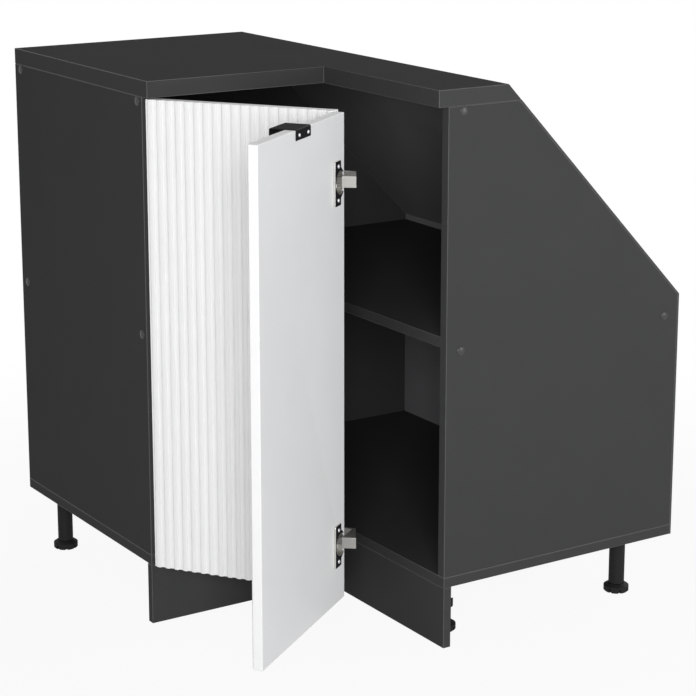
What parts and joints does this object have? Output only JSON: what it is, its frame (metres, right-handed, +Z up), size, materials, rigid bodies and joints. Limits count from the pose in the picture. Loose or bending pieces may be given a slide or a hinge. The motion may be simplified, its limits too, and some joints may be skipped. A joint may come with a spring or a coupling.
{
  "type": "sloped ceiling kitchen cabinet",
  "caption": "Corner base cabinet with a sloping back for a room under a roof, an L-shaped worktop and shelf, and a folding corner door with ribbed fronts on levelling feet.",
  "frame": {"origin": "on the floor, under the middle of the bounding box with the door half open as pictured", "axes": "+X from the wall-side panel to the right panel, +Y from the left panel to the back wall under the slope, +Z up"},
  "size_m": [0.8822, 0.8304, 0.841],
  "materials": {
    "dark_board": "matt anthracite melamine on particle board",
    "back_board": "matt grey thin fibre board",
    "white_front": "satin white wrapped fibre board, ribbed in front",
    "dark_plastic": "matt anthracite plastic",
    "black_plastic": "matt black plastic",
    "black_metal": "matt black powder coat",
    "nickel": "nickel-plated steel",
    "zinc": "zinc-plated steel",
    "beech": "plain beech"
  },
  "bodies": {
    "carcass": {"left_side_panel": "dark_board", "right_side_panel": "dark_board", "wall_side_panel": "dark_board", "bottom_panel": "dark_board", "shelf": "dark_board", "worktop": "dark_board", "left_plinth": "dark_board", "right_plinth": "dark_board", "back_panel": "back_board", "sloped_back_panel": "back_board", "cover_caps": "dark_plastic", "plinth_clips": "black_plastic", "leg_sockets": "black_plastic", "leg_tubes": "black_plastic", "worktop_blocks": "black_plastic", "shelf_pins": "nickel", "worktop_block_bolts": "nickel", "swing_hinge_plates": "nickel", "swing_hinge_arms": "nickel", "swing_hinge_arm_screws": "nickel", "plinth_corner_plate": "nickel", "plinth_screws": "zinc", "worktop_screws": "zinc", "carcass_screws": "zinc", "back_nails": "zinc", "leg_socket_screws": "zinc", "swing_hinge_plate_screws": "zinc", "carcass_dowels": "beech"},
    "left_leaf": {"door_leaf_left": "white_front", "swing_hinge_cups": "black_metal", "swing_hinge_pins": "nickel", "swing_hinge_cup_screws": "zinc", "fold_hinge_plates": "nickel", "fold_hinge_plate_screws": "zinc", "fold_hinge_arms": "nickel", "fold_hinge_arm_screws": "nickel"},
    "right_leaf": {"door_leaf_right": "white_front", "fold_hinge_cups": "black_metal", "fold_hinge_pins": "nickel", "fold_hinge_cup_screws": "zinc", "door_handle": "black_metal", "door_handle_screws": "zinc"},
    "foot_left_rear": {"foot_left_rear": "black_plastic"},
    "foot_left_front": {"foot_left_front": "black_plastic"},
    "foot_inner_corner": {"foot_inner_corner": "black_plastic"},
    "foot_right_front": {"foot_right_front": "black_plastic"},
    "foot_right_rear": {"foot_right_rear": "black_plastic"},
    "foot_rear_corner": {"foot_rear_corner": "black_plastic"}
  },
  "joints": [
    {"name": "door_swing", "type": "hinge", "parent": "carcass", "child": "left_leaf", "pos_m": [0.01388, -0.33485, 0], "axis": [0, 0, -1], "range_deg": [-54.5, 50.5]},
    {"name": "door_fold", "type": "hinge", "parent": "left_leaf", "child": "right_leaf", "pos_m": [0.26706, -0.17833, 0], "axis": [0, 0, 1], "range_deg": [0, 60]},
    {"name": "foot_left_rear_height", "type": "slide", "parent": "carcass", "child": "foot_left_rear", "axis": [0, 0, -1], "range_m": [0, 0.015]},
    {"name": "foot_left_front_height", "type": "slide", "parent": "carcass", "child": "foot_left_front", "axis": [0, 0, -1], "range_m": [0, 0.015]},
    {"name": "foot_inner_corner_height", "type": "slide", "parent": "carcass", "child": "foot_inner_corner", "axis": [0, 0, -1], "range_m": [0, 0.015]},
    {"name": "foot_right_front_height", "type": "slide", "parent": "carcass", "child": "foot_right_front", "axis": [0, 0, -1], "range_m": [0, 0.015]},
    {"name": "foot_right_rear_height", "type": "slide", "parent": "carcass", "child": "foot_right_rear", "axis": [0, 0, -1], "range_m": [0, 0.015]},
    {"name": "foot_rear_corner_height", "type": "slide", "parent": "carcass", "child": "foot_rear_corner", "axis": [0, 0, -1], "range_m": [0, 0.015]}
  ]
}
